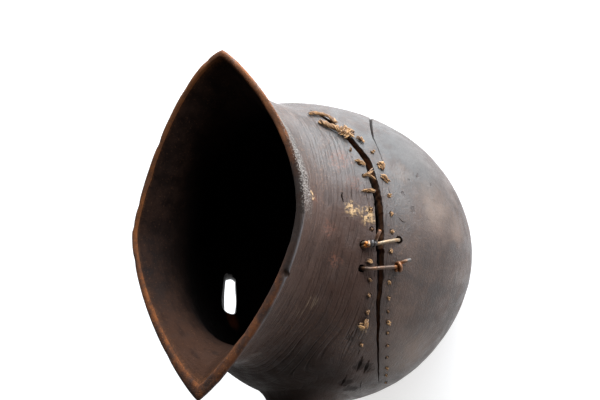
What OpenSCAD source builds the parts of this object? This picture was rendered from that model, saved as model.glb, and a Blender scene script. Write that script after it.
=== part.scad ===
// Hand-carved wooden dipper cup (kuksa family) with a pointed oval mouth and a stub of handle.
// The long crack in its wall is mended with fibre stitches, now mostly plugs left in their
// holes, and with two wire stitches. Millimetres, +Z up, +X along the handle, +Y the mended side.
// The origin is the centre of the flat that the cup stands on.

/* [Bowl] */
// Radius of the round belly
bowl_r = 56.5; // [50:0.5:65]
// Radius of the flat that the cup stands on
base_r = 24; // [18:1:30]
// Thickness of the belly wall
wall_t = 5; // [4:0.5:7]
// Thickness of wood under the hollow
floor_t = 7; // [5:0.5:10]
// Height of the mouth above the middle of the belly
neck_rise = 56; // [50:1:62]
// Extra fullness of the shoulder under the nose
nose_shoulder = 6.8; // [0:0.2:8]
// How upright the wall stands under the nose, from 0, drawn in like the sides, to 1
nose_upright = 1; // [0:0.1:1]
// Extra wood inside the neck above the handle
handle_ridge = 2.6; // [0:0.2:3]
// Extra fullness of the shoulder above the handle
handle_shoulder = 1.4; // [0:0.2:3]
// Extra fullness of the mended side, low on the belly
low_bulge = 2; // [0:0.2:3]

/* [Mouth] */
// Length of the mouth from point to point
mouth_len = 127.5; // [120:0.5:140]
// Width of the mouth at its middle
mouth_wid = 92; // [84:1:100]
// How far the two points stand above the mouth's middle
tip_rise = 2; // [0:0.5:5]
// How far the mouth's middle lies behind the belly's middle
mouth_back = 4; // [0:0.5:8]
// How far the nose, the point away from the handle, leans towards the mended side
nose_lean = 2; // [0:0.5:3]
// Thickness of the lip where it is thinnest, away from the handle
lip_thin = 2.4; // [2:0.2:4]
// Thickness of the lip where it is thickest, on the mended side near the handle
lip_thick = 5; // [4:0.2:6]

/* [Handle] */
// Reach of the handle from the middle of the belly
handle_reach = 118; // [100:1:140]
// Width of the handle at its root
handle_root_wid = 26; // [24:1:36]
// Thickness of the handle at its root
handle_root_thk = 20; // [16:1:24]
// Width of the handle at its end
handle_end_wid = 25; // [18:1:30]
// Thickness of the handle at its end
handle_end_thk = 13; // [10:1:16]
// Height of the handle's middle above the belly's middle
handle_up = 7; // [2:1:12]
// Rise of the handle's end above its root
handle_lift = 5; // [0:1:10]

/* [Crack] */
// Widest opening of the crack
crack_wid = 3.2; // [1:0.1:4]
// Direction round the belly where the crack is widest, in degrees from the handle
crack_mid = 98; // [95:1:102]
// Half the length of the crack, in degrees round the belly
crack_half = 52; // [48:1:54]

/* [Stitches] */
// Radius of the holes drilled for the fibre stitches
stitch_hole_r = 1; // [0.8:0.1:1.2]
// Radius of the fibre plug left in each hole
plug_r = 0.85; // [0.6:0.05:0.9]
// Radius of the wire
wire_r = 0.65; // [0.5:0.05:0.7]
// Distance between the two holes of one wire stitch
wire_span = 13.5; // [13:0.5:15]
// Radius of the hole that holds one strand of wire
wire_hole_r = 1.15; // [1:0.05:1.3]
// Radius of the hole that holds two strands of wire
wire_pair_hole_r = 1.6; // [1.5:0.05:1.8]

/* [Hidden] */
// Directions round the belly, in degrees from the handle, of the holes on the rim's side of the crack
rim_row = [128, 121, 115, 108, 100, 92, 79, 72, 66, 59, 54, 46];
// The same for the holes on the base's side
base_row = [126, 119, 113, 106, 99, 92, 84, 73, 67, 62, 58, 54, 49, 44, 39, 35, 30];
// How far each row lies from the crack, in degrees up the belly. The rim's row drifts away
// from the crack as it nears the handle.
rim_row_off = 3.8;
rim_row_drift = 4.5;
base_row_off = -4.1;
plug_len = 5.5;
plug_proud = 0.35;
strand_gap = 0.15;

// Where each wire stitch crosses the crack: direction, height in degrees, and turn about the wall
wire_nose_side = [87.2, 23.7, 14];
wire_handle_side = [77.6, 23, 194];
wire_stub_nose_side = [4.8, 4.8];
wire_stub_handle_side = [-2.6, -0.6];

// The split in the far wall: direction, height in degrees, half length, half height and slant
slot_at = [-76.5, -3.8];
slot_half_len = 7.8;
slot_half_hgt = 2.4;
slot_slant = 34;

// Stations of the carved surfaces
sides = 64;
belly_steps = 15;
neck_steps = 9;
inner_steps = 13;
handle_steps = 11;
handle_sides = 28;
neck_lat = 34.5;
bulge_lon = 95;
bulge_top = 18;
lip_round = 1.2;
cut_over = 4;

belly_z = sqrt(pow(bowl_r, 2) - pow(base_r, 2));
rim_z = belly_z + neck_rise;
inner_r = bowl_r - wall_t;
inner_depth = belly_z - floor_t;
base_lat = -asin(belly_z / bowl_r);

rim_names = [for (i = [0 : len(rim_row) - 1]) str("stitch_plug_rim_side_", i + 1)];
base_names = [for (i = [0 : len(base_row) - 1]) str("stitch_plug_base_side_", i + 1)];

// ---- Numbers and vectors

function mix(a, b, t) = a + (b - a) * t;
function ease(t) = t * t * (3 - 2 * t);
function signed_pow(v, e) = sign(v) * pow(abs(v), e);
function unit(v) = v / norm(v);
function clamp01(t) = max(0, min(1, t));
function bezier(p, t) =
    pow(1 - t, 3) * p[0] + 3 * pow(1 - t, 2) * t * p[1]
    + 3 * (1 - t) * t * t * p[2] + pow(t, 3) * p[3];

// A point at radius r from the belly's middle, lon degrees round from the handle and lat degrees up.
function on_sphere(r, lon, lat) =
    [r * cos(lat) * cos(lon), r * cos(lat) * sin(lon), belly_z + r * sin(lat)];

// ---- Closed skins through rings of points

function grid_faces(rings, n) = [
    for (i = [0 : rings - 2])
        for (j = [0 : n - 1])
            let (a = i * n + j, b = i * n + (j + 1) % n)
                for (f = [[a, a + n, b + n], [a, b + n, b]]) f
];
function first_cap(n) = [for (j = [1 : n - 2]) [0, j, j + 1]];
function last_cap(rings, n) = [
    for (j = [1 : n - 2]) [(rings - 1) * n, (rings - 1) * n + j + 1, (rings - 1) * n + j]
];

module skin(rings) {
    n = len(rings[0]);
    polyhedron(
        points = [for (r = rings) for (p = r) p],
        faces = concat(grid_faces(len(rings), n), first_cap(n), last_cap(len(rings), n)),
        convexity = 8);
}

// ---- Carved outlines

// How full the belly is beyond a ball: both shoulders, and the mended side low down.
function fullness(lon, lat) =
    let (
        shoulder = pow(clamp01((lat + 8) / (neck_lat + 8)), 2),
        low = sin(180 * clamp01((lat - base_lat) / (bulge_top - base_lat)))
    )
        nose_shoulder * pow(max(0, -cos(lon)), 3) * shoulder
        + handle_shoulder * pow(max(0, cos(lon)), 3) * shoulder
        + low_bulge * pow(max(0, cos(lon - bulge_lon)), 5) * low;

// The mouth's outline is a lens, pointed at both ends of X. Each quarter has its own curve.
quarter_bend = [1.18, 1.15, 1.5, 1.27];
quarter_tip = [1.75, 1.75, 1.15, 1.75];
function lens_x(t, open) = signed_pow(cos(t), mix(1, quarter_bend[floor(t / 90) % 4], open));
function lens_y(t, open) = signed_pow(sin(t), mix(1, quarter_tip[floor(t / 90) % 4], open));

// A ring of the belly of radius r, flattened to height rz, at lat degrees up.
function belly_point(r, rz, lon, lat) =
    let (f = (r + fullness(lon, lat)) / r)
        [f * r * cos(lat) * cos(lon), f * r * cos(lat) * sin(lon), belly_z + f * rz * sin(lat)];
function belly_ring(r, rz, lat) = [for (j = [0 : sides - 1]) belly_point(r, rz, 360 * j / sides, lat)];

// Side curve of the neck, as [distance out, height], from the belly to the rim. It leaves the
// belly leaning in by lean degrees.
function neck_curve(r, out, flare, pull, lean) =
    let (start = [r * cos(neck_lat), belly_z + r * sin(neck_lat)], end = [out, rim_z])
        [start, start + 12 * [-sin(lean), cos(lean)], end - pull * flare, end];

// Which way the neck opens at the rim, towards the handle, towards the nose and towards a side.
handle_flare = [0.85, 0.53];
nose_flare = [0.68, 0.73];
side_flare = [0.35, 0.94];

// A ring of the neck, at t from 0 on the belly to 1 at a rim of half length a and half width b.
// A ridge draws it inwards above the handle.
function neck_ring(r, a, b, t, ridge = 0) =
    let (open = ease(t))
        [for (j = [0 : sides - 1])
            let (
                lon = 360 * j / sides,
                full = r + fullness(lon, neck_lat),
                nose = max(0, -cos(lon)),
                lean = neck_lat * (1 - nose_upright * nose),
                pa = bezier(neck_curve(full, a, mix(handle_flare, nose_flare, nose), 14, lean), t),
                pb = bezier(neck_curve(full, b, side_flare, 10, lean), t),
                along = lens_x(lon, open),
                w = pow(cos(lon), 2),
                inwards = ridge * 4 * t * (1 - t) * pow(max(0, cos(lon)), 2)
            )
                [(pa[0] - inwards) * along - mouth_back * open,
                 pb[0] * lens_y(lon, open) + nose_lean * open * pow(nose, 5),
                 mix(pb[1], pa[1], w) + tip_rise * open * along * along]];

// The lip's thickness swings round the mouth, thickest 40 degrees from the handle.
function lip_at(j) =
    mix(lip_thin, lip_thick, (1 + cos(360 * j / sides - 40)) / 2);

// Moves a ring inwards by a share of the lip's thickness, and up.
function drawn_in(ring, share, up) = [
    for (j = [0 : sides - 1])
        let (
            prev = ring[(j + sides - 1) % sides],
            next = ring[(j + 1) % sides],
            along = unit([next[0] - prev[0], next[1] - prev[1]]),
            d = share * lip_at(j)
        )
            [ring[j][0] - along[1] * d, ring[j][1] + along[0] * d, ring[j][2] + up]
];

outer_rim = neck_ring(bowl_r, mouth_len / 2, mouth_wid / 2, 1);
lip_mid = (lip_thin + lip_thick) / 2;
inner_a = mouth_len / 2 - 1.3 * lip_mid;
inner_b = mouth_wid / 2 - lip_mid;

// Eases the bend where the neck leaves the belly: the rings near ring m move towards their neighbours.
function eased(rings, m) = [
    for (k = [0 : len(rings) - 1])
        abs(k - m) > 2 ? rings[k] : (rings[k - 1] + 2 * rings[k] + rings[k + 1]) / 4
];

outside = concat(
    [for (k = [0 : belly_steps]) belly_ring(bowl_r, bowl_r, mix(base_lat, neck_lat, k / belly_steps))],
    [for (k = [1 : neck_steps]) neck_ring(bowl_r, mouth_len / 2, mouth_wid / 2, k / neck_steps)]);

// One closed skin: up the outside, over the rounded lip and down the hollow to its floor.
cup_rings = concat(
    eased(outside, belly_steps + 1),
    [drawn_in(outer_rim, 0.2, lip_round * 0.7)],
    [drawn_in(outer_rim, 0.75, lip_round * 0.8)],
    [drawn_in(outer_rim, 1, -0.4)],
    [for (k = [neck_steps - 1 : -1 : 1]) neck_ring(inner_r, inner_a, inner_b, k / neck_steps, handle_ridge)],
    [for (k = [inner_steps : -1 : 0])
        let (lat = mix(-86, neck_lat, k / inner_steps))
            belly_ring(inner_r, lat < 0 ? inner_depth : inner_r, lat)]);

// ---- The handle

// The first ring lies inside the wall and follows its curve, so that nothing reaches the hollow.
function handle_ring(k) =
    let (
        s = k / handle_steps,
        x = mix(bowl_r - 3, handle_reach, 1 - pow(1 - s, 1.25)),
        grip = clamp01((x - bowl_r) / (handle_reach - bowl_r)),
        fillet = 4 * pow(1 - clamp01((x - bowl_r + 3) / 12), 2),
        tail = clamp01((x - handle_reach + 9) / 9),
        round_end = sqrt(max(0.02, 1 - tail * tail)),
        half_w = mix(handle_root_wid, handle_end_wid, grip) / 2 * mix(1, round_end, 0.85) + fillet,
        half_t = mix(handle_root_thk, handle_end_thk, pow(grip, 0.7)) / 2 * mix(1, round_end, 0.9) + fillet,
        up = handle_up + handle_lift * grip * grip
    )
        [for (j = [0 : handle_sides - 1])
            let (
                t = 360 * j / handle_sides,
                y = half_w * signed_pow(cos(t), 0.75),
                z = up + half_t * signed_pow(sin(t), 0.75),
                in_wall = sqrt(pow(bowl_r - 1.4, 2) - y * y - z * z)
            )
                [k == 0 ? in_wall : max(x, in_wall + 0.35 * k), y, belly_z + z]];

// ---- The crack and its stitches

// Height of the crack's path: level on the belly, rising behind and sweeping down to the handle.
function crack_lat(lon) =
    lon < 84 ? 23.5 - 0.0097 * pow(84 - lon, 2)
    : lon > 122 ? 24 + 0.17 * (lon - 122)
    : 24;
function crack_gap(lon) = max(0.3, crack_wid * (1 - pow((lon - crack_mid) / crack_half, 2)));
function crack_slope(lon) = atan2(crack_lat(lon + 1) - crack_lat(lon - 1), 2 * cos(crack_lat(lon)));

crack_steps = 22;
function crack_ring(k) =
    let (
        lon = mix(crack_mid - crack_half, crack_mid + crack_half, k / crack_steps),
        half = crack_gap(lon) / 2 / bowl_r * 180 / PI,
        up = half * cos(crack_slope(lon)),
        side = half * sin(crack_slope(lon)) / cos(crack_lat(lon)),
        low = inner_r - 2,
        high = bowl_r + 3
    )
        [on_sphere(low, lon + side, crack_lat(lon) - up),
         on_sphere(high, lon + side, crack_lat(lon) - up),
         on_sphere(high, lon - side, crack_lat(lon) + up),
         on_sphere(low, lon - side, crack_lat(lon) + up)];

// Puts children on the belly's skin, Z outwards, X down towards the base, Y round from the handle.
module on_belly(lon, lat) {
    translate([0, 0, belly_z]) rotate([0, 90 - lat, lon]) translate([0, 0, bowl_r]) children();
}

function rim_off(lon) = rim_row_off + rim_row_drift * pow(max(0, 66 - lon) / 20, 1.5);

module stitch_hole(lon, off) {
    on_belly(lon, crack_lat(lon) + off)
        translate([0, 0, -wall_t - cut_over]) cylinder(r = stitch_hole_r, h = wall_t + 2 * cut_over, $fn = 24);
}

module wire_holes(at) {
    depth = wall_t + 2 * cut_over;
    on_belly(at[0], at[1]) rotate([0, 0, at[2]]) {
        translate([-wire_span / 2, 0, -wall_t - cut_over]) cylinder(r = wire_pair_hole_r, h = depth, $fn = 24);
        translate([wire_span / 2, 0, -wall_t - cut_over]) cylinder(r = wire_hole_r, h = depth, $fn = 24);
    }
}

module far_slot() {
    on_belly(slot_at[0], slot_at[1]) rotate([0, slot_slant, 0]) hull()
        for (side = [-1, 1])
            translate([0, side * (slot_half_len - slot_half_hgt), -wall_t - 2 * cut_over])
                cylinder(r = slot_half_hgt, h = wall_t + 4 * cut_over, $fn = 32);
}

module carved_cup() {
    color([0.2, 0.13, 0.1]) difference() {
        union() {
            skin(cup_rings);
            skin([for (k = [0 : handle_steps]) handle_ring(k)]);
        }
        skin([for (k = [0 : crack_steps]) crack_ring(k)]);
        for (lon = rim_row) stitch_hole(lon, rim_off(lon));
        for (lon = base_row) stitch_hole(lon, base_row_off);
        wire_holes(wire_nose_side);
        wire_holes(wire_handle_side);
        far_slot();
    }
}

// ---- Swept strands

// Replaces each inner corner of a path by a small curve that starts d before it.
function rounded(p, d) = concat(
    [p[0]],
    [for (i = [1 : len(p) - 2])
        let (
            a = p[i] + unit(p[i - 1] - p[i]) * min(d, norm(p[i - 1] - p[i]) / 2),
            b = p[i] + unit(p[i + 1] - p[i]) * min(d, norm(p[i + 1] - p[i]) / 2)
        )
            for (t = [0 : 1 / 3 : 1.01]) pow(1 - t, 2) * a + 2 * t * (1 - t) * p[i] + t * t * b],
    [p[len(p) - 1]]);

function tangents(p) = [
    for (i = [0 : len(p) - 1]) unit(p[min(i + 1, len(p) - 1)] - p[max(i - 1, 0)])
];
function carried(t, i, v) = i >= len(t) ? [] :
    let (u = unit(v - (v * t[i]) * t[i])) concat([u], carried(t, i + 1, u));
function tube_rings(p, r, n, start) =
    let (t = tangents(p), u = carried(t, 0, start))
        [for (i = [0 : len(p) - 1])
            let (v = cross(t[i], u[i]), e = (i == 0 || i == len(p) - 1) ? 0.5 : 1)
                [for (j = [0 : n - 1])
                    p[i] + r * e * (cos(360 * j / n) * u[i] + sin(-360 * j / n) * v)]];

// One wire: its free end, one and a half turns round the span, down the wide hole, across
// inside, up the narrow hole, back over the crack and into the wide hole beside itself.
module wire_stitch(at, stub) {
    h = wire_span / 2;
    beside = wire_r + 0.1;
    span_z = 3 * wire_r + 0.1;
    turn_r = 2 * wire_r + 0.1;
    under = -wall_t - wire_r - 0.9;
    coil = [for (a = [60 : 40 : 540])
        [-h + 4.6 - 2.6 * (a - 60) / 480, turn_r * cos(a), span_z + turn_r * sin(a)]];
    loop = [
        [-h - beside, 0, span_z - 0.6],
        [-h - beside, 0, under],
        [h, 0, under],
        [h, 0, span_z - 0.3],
        [-h + beside, 0, span_z],
        [-h + beside, 0, -2.5]];
    path = concat([[-h + stub[0], stub[1], span_z + 1]], coil, rounded(loop, 1.1));
    on_belly(at[0], at[1]) rotate([0, 0, at[2]]) skin(tube_rings(path, wire_r, 8, [0, 0, 1]));
}

module wire_stitch_nose_side() {
    color([0.62, 0.5, 0.42]) wire_stitch(wire_nose_side, wire_stub_nose_side);
}

module wire_stitch_handle_side() {
    color([0.55, 0.43, 0.36]) wire_stitch(wire_handle_side, wire_stub_handle_side);
}

// ---- Fibre

// A strand laid on the belly through [direction, height] places, just clear of the skin.
module laid_strand(places, r) {
    path = [for (p = places) on_sphere(bowl_r + fullness(p[0], p[1]) + r + strand_gap, p[0], p[1])];
    color([0.72, 0.56, 0.38]) skin(tube_rings(path, r, 8, [0, 0, 1]));
}

module fibre_strand_long() {
    laid_strand([[153.4, 32.2], [151.5, 29.9], [149, 28.1], [146.2, 26.8], [142.9, 26.3]], 0.8);
}

module fibre_strand_short() {
    laid_strand([[146.8, 32.2], [145.2, 31.7], [143.6, 31.1], [142, 30.5], [140.5, 29.8]], 0.8);
}

module fibre_strand_under() {
    laid_strand([[134.3, 22.8], [132.4, 22.2], [130.5, 21.6]], 0.7);
}

module fibre_knot() {
    lift = 1.75;
    color([0.74, 0.6, 0.42]) hull()
        for (p = [[136.9, 28.2], [138.5, 25.4], [136.2, 24.7], [133.9, 27], [134.4, 28.9]])
            translate(on_sphere(bowl_r + fullness(p[0], p[1]) + lift, p[0], p[1]))
                sphere(r = 1.5, $fn = 16);
}

module stitch_plug(lon, off) {
    color([0.7, 0.55, 0.36]) on_belly(lon, crack_lat(lon) + off)
        translate([0, 0, plug_proud - plug_len]) cylinder(r = plug_r, h = plug_len, $fn = 24);
}

carved_cup();
wire_stitch_nose_side();
wire_stitch_handle_side();
fibre_knot();
fibre_strand_long();
fibre_strand_short();
fibre_strand_under();
for (i = [0 : len(rim_row) - 1])
    stitch_plug(rim_row[i], rim_off(rim_row[i]));
for (i = [0 : len(base_row) - 1])
    stitch_plug(base_row[i], base_row_off);
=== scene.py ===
"""A carved wooden cup with a pointed mouth and a crack stitched with fibre and wire.

Lengths are in millimetres, as in the part's own source, and become metres when a mesh is made.
"""

import math
import random

import bmesh
import bpy
import numpy as np
from mathutils import Matrix, Vector, noise
from mathutils.kdtree import KDTree


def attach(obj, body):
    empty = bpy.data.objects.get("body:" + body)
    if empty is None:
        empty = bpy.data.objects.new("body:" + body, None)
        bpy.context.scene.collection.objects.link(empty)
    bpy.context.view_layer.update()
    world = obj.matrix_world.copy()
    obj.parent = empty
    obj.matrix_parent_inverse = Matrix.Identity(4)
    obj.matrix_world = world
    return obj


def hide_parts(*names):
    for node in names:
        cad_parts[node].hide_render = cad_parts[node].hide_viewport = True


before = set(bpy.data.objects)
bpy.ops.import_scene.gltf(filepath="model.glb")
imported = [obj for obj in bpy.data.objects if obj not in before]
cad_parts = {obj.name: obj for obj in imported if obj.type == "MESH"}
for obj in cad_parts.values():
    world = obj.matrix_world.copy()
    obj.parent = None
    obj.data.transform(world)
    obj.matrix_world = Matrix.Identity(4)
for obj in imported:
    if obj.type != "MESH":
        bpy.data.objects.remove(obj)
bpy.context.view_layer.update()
MM = 0.001

# ---- The shape, with the part's own sizes

BOWL_R, BASE_R, WALL, FLOOR_T, NECK_RISE = 56.5, 24.0, 5.0, 7.0, 56.0
NOSE_SHOULDER, HANDLE_SHOULDER, LOW_BULGE, NOSE_UPRIGHT, HANDLE_RIDGE = 6.8, 1.4, 2.0, 1.0, 2.6
MOUTH_A, MOUTH_B, TIP_RISE, MOUTH_BACK, NOSE_LEAN = 63.75, 46.0, 2.0, 4.0, 2.0
LIP_THIN, LIP_THICK = 2.4, 5.0
NECK_LAT = 34.5
BELLY_Z = math.sqrt(BOWL_R**2 - BASE_R**2)
RIM_Z = BELLY_Z + NECK_RISE
INNER_R = BOWL_R - WALL
INNER_DEPTH = BELLY_Z - FLOOR_T
BASE_LAT = -math.degrees(math.asin(BELLY_Z / BOWL_R))
QUARTER_BEND = np.array([1.18, 1.15, 1.5, 1.27])
QUARTER_TIP = np.array([1.75, 1.75, 1.15, 1.75])
HANDLE_FLARE, NOSE_FLARE, SIDE_FLARE = (0.85, 0.53), (0.68, 0.73), (0.35, 0.94)
CENTRE = np.array([0.0, 0.0, BELLY_Z])
RIM_ROW = [128, 121, 115, 108, 100, 92, 79, 72, 66, 59, 54, 46]
BASE_ROW = [126, 119, 113, 106, 99, 92, 84, 73, 67, 62, 58, 54, 49, 44, 39, 35, 30]
WIRE_NOSE, WIRE_HANDLE = (87.2, 23.7, 14), (77.6, 23.0, 194)
WIRE_SPAN, WIRE_R = 13.5, 0.65


def sin(a):
    return np.sin(np.radians(a))


def cos(a):
    return np.cos(np.radians(a))


def mix(a, b, t):
    return a + (b - a) * t


def ease(t):
    t = np.clip(t, 0, 1)
    return t * t * (3 - 2 * t)


def signed_pow(v, e):
    return np.sign(v) * np.abs(v) ** e


def unit(v):
    return v / max(np.linalg.norm(v), 1e-9)


def units(v):
    return v / np.maximum(np.linalg.norm(v, axis=-1, keepdims=True), 1e-9)


def around(n):
    """The directions of n even steps round a circle, in radians."""
    return np.arange(n) * 2 * math.pi / n


def jitter(x, y, z):
    return noise.noise(Vector((x, y, z)))


def fullness(lon, lat):
    """How full the belly is beyond a ball."""
    shoulder = np.clip((lat + 8) / (NECK_LAT + 8), 0, 1) ** 2
    low = sin(180 * np.clip((lat - BASE_LAT) / (18 - BASE_LAT), 0, 1))
    return (
        NOSE_SHOULDER * np.maximum(0, -cos(lon)) ** 3 * shoulder
        + HANDLE_SHOULDER * np.maximum(0, cos(lon)) ** 3 * shoulder
        + LOW_BULGE * np.maximum(0, cos(lon - 95)) ** 5 * low
    )


def lens_x(lon, opening):
    bend = QUARTER_BEND[(np.floor(lon / 90) % 4).astype(int)]
    return signed_pow(cos(lon), mix(1, bend, opening))


def lens_y(lon, opening):
    bend = QUARTER_TIP[(np.floor(lon / 90) % 4).astype(int)]
    return signed_pow(sin(lon), mix(1, bend, opening))


def belly_ring(r, rz, lon, lat):
    f = (r + fullness(lon, lat)) / r
    level = f * r * cos(lat)
    return np.stack([level * cos(lon), level * sin(lon), BELLY_Z + f * rz * sin(lat)], -1)


def bezier(p, t):
    s = 1 - t
    a, b, c, d = p
    return [s**3 * a[i] + 3 * s * s * t * b[i] + 3 * s * t * t * c[i] + t**3 * d[i] for i in (0, 1)]


def neck_curve(r, out, flare, pull, lean):
    start = [r * cos(NECK_LAT), BELLY_Z + r * sin(NECK_LAT)]
    return [
        start,
        [start[0] - 12 * sin(lean), start[1] + 12 * cos(lean)],
        [out - pull * flare[0], RIM_Z - pull * flare[1]],
        [out, RIM_Z],
    ]


def neck_ring(r, a, b, lon, t, ridge=0.0):
    opening = ease(t)
    full = r + fullness(lon, NECK_LAT)
    nose = np.maximum(0, -cos(lon))
    lean = NECK_LAT * (1 - NOSE_UPRIGHT * nose)
    flare = [mix(HANDLE_FLARE[i], NOSE_FLARE[i], nose) for i in (0, 1)]
    pa = bezier(neck_curve(full, a, flare, 14, lean), t)
    pb = bezier(neck_curve(full, b, SIDE_FLARE, 10, lean), t)
    along = lens_x(lon, opening)
    inwards = ridge * 4 * t * (1 - t) * np.maximum(0, cos(lon)) ** 2
    return np.stack(
        [
            (pa[0] - inwards) * along - MOUTH_BACK * opening,
            pb[0] * lens_y(lon, opening) + NOSE_LEAN * opening * nose**5,
            mix(pb[1], pa[1], cos(lon) ** 2) + TIP_RISE * opening * along**2,
        ],
        -1,
    )


def lip_at(lon):
    return mix(LIP_THIN, LIP_THICK, ((1 + cos(lon - 40)) / 2) ** 1.6)


def crack_lat(lon):
    """Height of the crack's path round the belly."""
    falling, rising = 23.5 - 0.0097 * (84 - lon) ** 2, 24 + 0.17 * (lon - 122)
    return np.where(lon < 84, falling, np.where(lon > 122, rising, 24.0))


def rim_lat(lon):
    """Height of the rim's row of holes, which drifts away from the crack near the handle."""
    return float(crack_lat(lon)) + 3.8 + 4.5 * (max(0, 66 - lon) / 20) ** 1.5


def base_lat(lon):
    return float(crack_lat(lon)) - 4.1


def skin_point(lon, lat, height=0.0):
    """A point on the belly's skin, or height above it."""
    r = BOWL_R + float(fullness(np.float64(lon), np.float64(lat))) + height
    return CENTRE + r * np.array([cos(lat) * cos(lon), cos(lat) * sin(lon), sin(lat)])


def skin_axes(lon, lat):
    """Round from the handle, up the belly, and outwards."""
    east = np.array([-sin(lon), cos(lon), 0.0])
    out = np.array([cos(lat) * cos(lon), cos(lat) * sin(lon), sin(lat)])
    return east, np.cross(out, east), out


def wander(p, scale, seed, octaves=2):
    """Smooth noise between about -1 and 1 at each point of p, with features of size scale."""
    q = np.asarray(p, float).reshape(-1, 3) / scale + seed
    values = [noise.fractal(Vector(v), 1.0, 2.0, octaves) for v in q.tolist()]
    return np.array(values).reshape(np.shape(p)[:-1])


# ---- Mesh tools


def make_object(name, points, faces, smooth=True):
    mesh = bpy.data.meshes.new(name)
    mesh.from_pydata((np.asarray(points) * MM).tolist(), [], faces)
    mesh.validate()
    if smooth:
        mesh.shade_smooth()
    obj = bpy.data.objects.new(name, mesh)
    bpy.context.scene.collection.objects.link(obj)
    return obj


def ring_faces(rows, n, start):
    faces = []
    for low in range(start, start + (rows - 1) * n, n):
        for j, k in zip(range(n), [*range(1, n), 0]):
            faces.append((low + j, low + k, low + n + k, low + n + j))
    return faces


def closed_skin(rings, start=0):
    """Points and faces of a closed skin through rings of points, with a fan at each end."""
    n = len(rings[0])
    rows = len(rings)
    points = np.concatenate([np.concatenate(rings), [np.mean(rings[0], 0)], [np.mean(rings[-1], 0)]])
    top, first, last = start + (rows - 1) * n, start + rows * n, start + rows * n + 1
    faces = ring_faces(rows, n, start)
    faces += [(first, start + (j + 1) % n, start + j) for j in range(n)]
    faces += [(last, top + j, top + (j + 1) % n) for j in range(n)]
    corner = points - points[0]
    volume = 0.0
    for f in faces:
        a, b, c = (corner[i - start] for i in f[:3])
        volume += float(np.dot(a, np.cross(b, c)))
    if volume < 0:
        faces = [f[::-1] for f in faces]
    return points, faces


def tube_rings(path, radii, sides):
    """Rings of a tube along a path, carried along without twisting."""
    path = np.asarray(path, float)
    tangent = units(np.gradient(path, axis=0))
    u = np.cross(tangent[0], [0.3, 0.5, 0.81])
    rings = []
    turn = around(sides)
    for p, t, r in zip(path, tangent, radii):
        u = unit(u - t * np.dot(u, t))
        v = np.cross(t, u)
        rings.append(p + r * (np.outer(np.cos(turn), u) + np.outer(np.sin(turn), v)))
    return rings


def joined(parts):
    """One list of points and faces from several skins, each given as rings."""
    points, faces, counts = [], [], []
    start = 0
    for rings in parts:
        p, f = closed_skin(rings, start)
        points.append(p)
        faces += f
        start += len(p)
        counts.append(len(p))
    return np.concatenate(points), faces, counts


def spline(points, count):
    """A smooth path of count points through a few points."""
    p = np.asarray(points, float)
    p = np.concatenate([[2 * p[0] - p[1]], p, [2 * p[-1] - p[-2]]])
    out = []
    for u in np.linspace(0, len(p) - 3 - 1e-9, count):
        i = int(u)
        t = u - i
        a, b, c, d = p[i : i + 4]
        bent, twisted = 2 * a - 5 * b + 4 * c - d, 3 * b - a - 3 * c + d
        out.append(0.5 * (2 * b + (c - a) * t + bent * t * t + twisted * t**3))
    return np.array(out)


def sharp_edges(mesh, degrees):
    bm = bmesh.new()
    bm.from_mesh(mesh)
    limit = math.radians(degrees)
    for e in bm.edges:
        e.smooth = not (len(e.link_faces) == 2 and e.calc_face_angle(0) > limit)
    bm.to_mesh(mesh)
    bm.free()


# ---- The carved cup

FRONT, BEHIND = 226, 154  # columns on the mended side and on the far side
lon = np.concatenate([np.arange(FRONT) * 180.0 / FRONT, 180 + np.arange(BEHIND) * 180.0 / BEHIND])
COLUMNS = len(lon)


def grain_height(p):
    """Which growth layer of the wood a point is in. Layers rise to the nose and dip by the handle."""
    x, z = p[..., 0], p[..., 2]
    low = 1 - ease((z - 70) / 10)
    dip = (0.02 - 0.01 * low) * np.maximum(x - 36, 0) ** 2
    return z - 0.14 * np.minimum(x, 5) + dip + 0.0025 * low * np.maximum(x, 0) ** 2


def outside_rows():
    lats = np.concatenate([np.linspace(BASE_LAT, -12, 44)[:-1], np.linspace(-12, NECK_LAT, 72)])
    rows = [belly_ring(BOWL_R, BOWL_R, lon, lat) for lat in lats]
    junction = len(rows)
    rows += [neck_ring(BOWL_R, MOUTH_A, MOUTH_B, lon, t) for t in np.linspace(0, 1, 52)[1:]]
    p = np.array(rows)
    reach = np.abs(np.arange(len(p)) - junction)
    share = np.clip(1.4 - reach / 12, 0, 1)[:, None, None]
    for _ in range(14):  # until the neck leaves the belly in one easy curve
        even = p.copy()
        even[1:-1] = (p[:-2] + 2 * p[1:-1] + p[2:]) / 4
        p = mix(p, even, share)
    return p


# The rings across the lip, as shares of its width
LIP_SHARES = (0.03, 0.09, 0.18, 0.32, 0.5, 0.68, 0.82, 0.92, 0.98)


def lip_rows(rim):
    """From the outer edge of the rim over the lip to its inner edge."""
    lip = lip_at(lon)
    x = (MOUTH_A - 1.3 * lip) * lens_x(lon, 1.0) - MOUTH_BACK
    y = (MOUTH_B - lip) * lens_y(lon, 1.0) + NOSE_LEAN * np.maximum(0, -cos(lon)) ** 5
    inner = np.stack([x, y, rim[:, 2] - 0.4], -1)
    rows = []
    for share in LIP_SHARES:
        crown = 0.95 * (1 - abs(2 * share - 1) ** 3.2)
        ring = mix(rim, inner, share)
        ring[:, 2] = mix(rim[:, 2], inner[:, 2], share) + crown
        rows.append(ring)
    return rows + [inner]


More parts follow.
